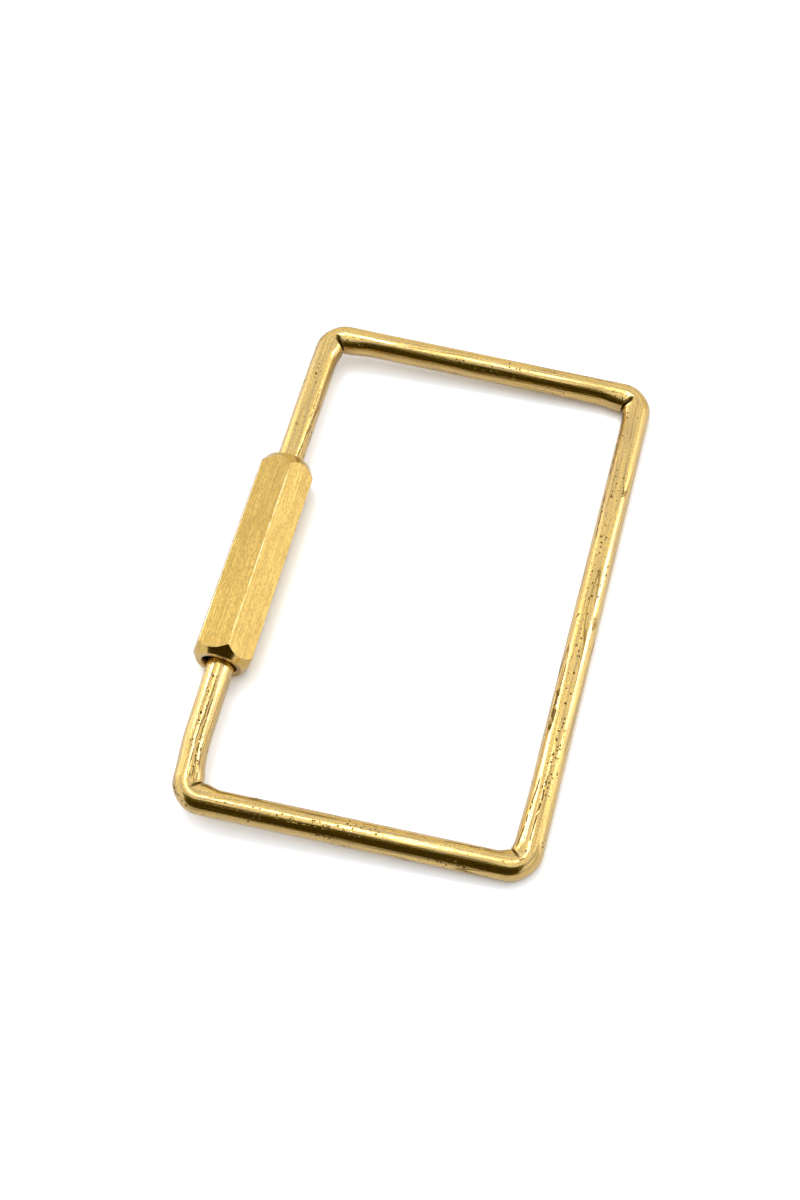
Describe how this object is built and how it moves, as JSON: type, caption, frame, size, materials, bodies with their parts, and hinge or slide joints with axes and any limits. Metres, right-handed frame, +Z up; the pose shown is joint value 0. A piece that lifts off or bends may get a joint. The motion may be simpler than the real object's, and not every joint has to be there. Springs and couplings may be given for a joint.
{
  "type": "key ring",
  "caption": "Rectangular key ring of round wire, closed on one long side by a hexagonal screw sleeve that draws back along one leg to open a gap for keys.",
  "frame": {"origin": "middle of the ring's footprint on the surface that it lies on, with the ring lying flat", "axes": "+Y along the sleeve's axis, from the bored end to the tapped end; +X from the sleeve to the far long side; +Z up"},
  "size_m": [0.055, 0.0828, 0.0087],
  "materials": {
    "wire_brass": "drawn wire, worn satin with lengthwise streaks and some tarnish",
    "sleeve_brass": "milled hexagon bar, satin"
  },
  "bodies": {
    "frame": {"wire_frame": "wire_brass"},
    "sleeve": {"hex_sleeve": "sleeve_brass"}
  },
  "joints": [
    {"name": "sleeve_slide", "type": "slide", "parent": "frame", "child": "sleeve", "axis": [0, -1, 0], "range_m": [0, 0.012]}
  ]
}
